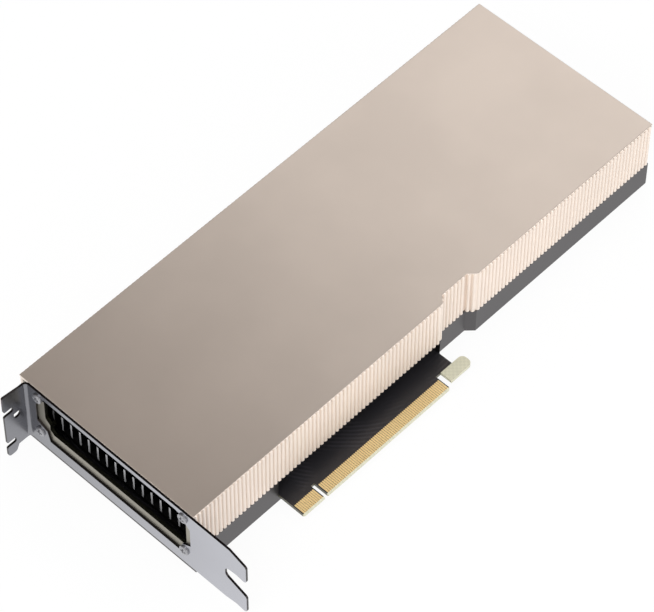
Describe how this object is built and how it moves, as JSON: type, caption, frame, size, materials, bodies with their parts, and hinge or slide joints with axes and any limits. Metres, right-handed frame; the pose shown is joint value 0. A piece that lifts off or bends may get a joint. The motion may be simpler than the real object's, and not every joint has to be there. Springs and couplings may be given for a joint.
{
  "type": "passive accelerator card",
  "caption": "Full-length two-slot server accelerator card with a fluted metal cover, open air path end to end, slot bracket and edge connector; cooled by chassis air.",
  "frame": {"origin": "centre of the back, the flat face that the card rests on, midway along the body from the bracket's outer face to the far end and midway across the cover", "axes": "+X from the mounting bracket to the far end with the air intake and power socket, +Z from the back to the cover, -Y towards the edge connector"},
  "size_m": [0.2799, 0.1249, 0.0396],
  "materials": {
    "cover_gold": "anodised, satin champagne",
    "frame_grey": "matt dark grey",
    "back_black": "matt black",
    "board_black": "solder mask, satin black",
    "contact_gold": "gold plated",
    "bracket_steel": "satin nickel",
    "grille_gold": "satin olive gold",
    "sink_aluminium": "bare",
    "screw_steel": "nickel plated",
    "package_green": "laminate",
    "die_silicon": "bare silicon",
    "memory_black": "bare silicon",
    "pad_grey": "soft pad",
    "pillar_brass": "nickel-free brass",
    "choke_block": "pressed ferrite",
    "capacitor_can": "bare can",
    "socket_black": "moulded",
    "pin_gold": "gold plated",
    "intake_black": "matt black",
    "cap_black": "moulded"
  },
  "bodies": {
    "root": {"back_plate": "back_black", "back_screw_1": "screw_steel", "back_screw_2": "screw_steel", "back_screw_3": "screw_steel", "back_screw_4": "screw_steel", "bracket_screw_1": "screw_steel", "bracket_screw_2": "screw_steel", "bracket_screw_3": "screw_steel", "bracket_screw_4": "screw_steel", "bridge_cap": "cap_black", "capacitor_1": "capacitor_can", "capacitor_2": "capacitor_can", "capacitor_3": "capacitor_can", "capacitor_4": "capacitor_can", "capacitor_5": "capacitor_can", "choke_1": "choke_block", "choke_2": "choke_block", "choke_3": "choke_block", "choke_4": "choke_block", "choke_5": "choke_block", "choke_6": "choke_block", "circuit_board": "board_black", "contacts_long_bottom": "contact_gold", "contacts_long_top": "contact_gold", "contacts_short_bottom": "contact_gold", "contacts_short_top": "contact_gold", "cover_pillar_1": "pillar_brass", "cover_pillar_2": "pillar_brass", "cover_pillar_3": "pillar_brass", "cover_pillar_4": "pillar_brass", "exhaust_grille": "grille_gold", "fluted_cover": "cover_gold", "heat_sink": "sink_aluminium", "intake_frame": "intake_black", "lower_frame": "frame_grey", "memory_stack_1": "memory_black", "memory_stack_2": "memory_black", "memory_stack_3": "memory_black", "memory_stack_4": "memory_black", "mounting_bracket": "bracket_steel", "power_pin_1": "pin_gold", "power_pin_2": "pin_gold", "power_pin_3": "pin_gold", "power_pin_4": "pin_gold", "power_pin_5": "pin_gold", "power_pin_6": "pin_gold", "power_pin_7": "pin_gold", "power_pin_8": "pin_gold", "power_socket": "socket_black", "processor_die": "die_silicon", "processor_package": "package_green", "thermal_pad": "pad_grey"}
  },
  "joints": []
}
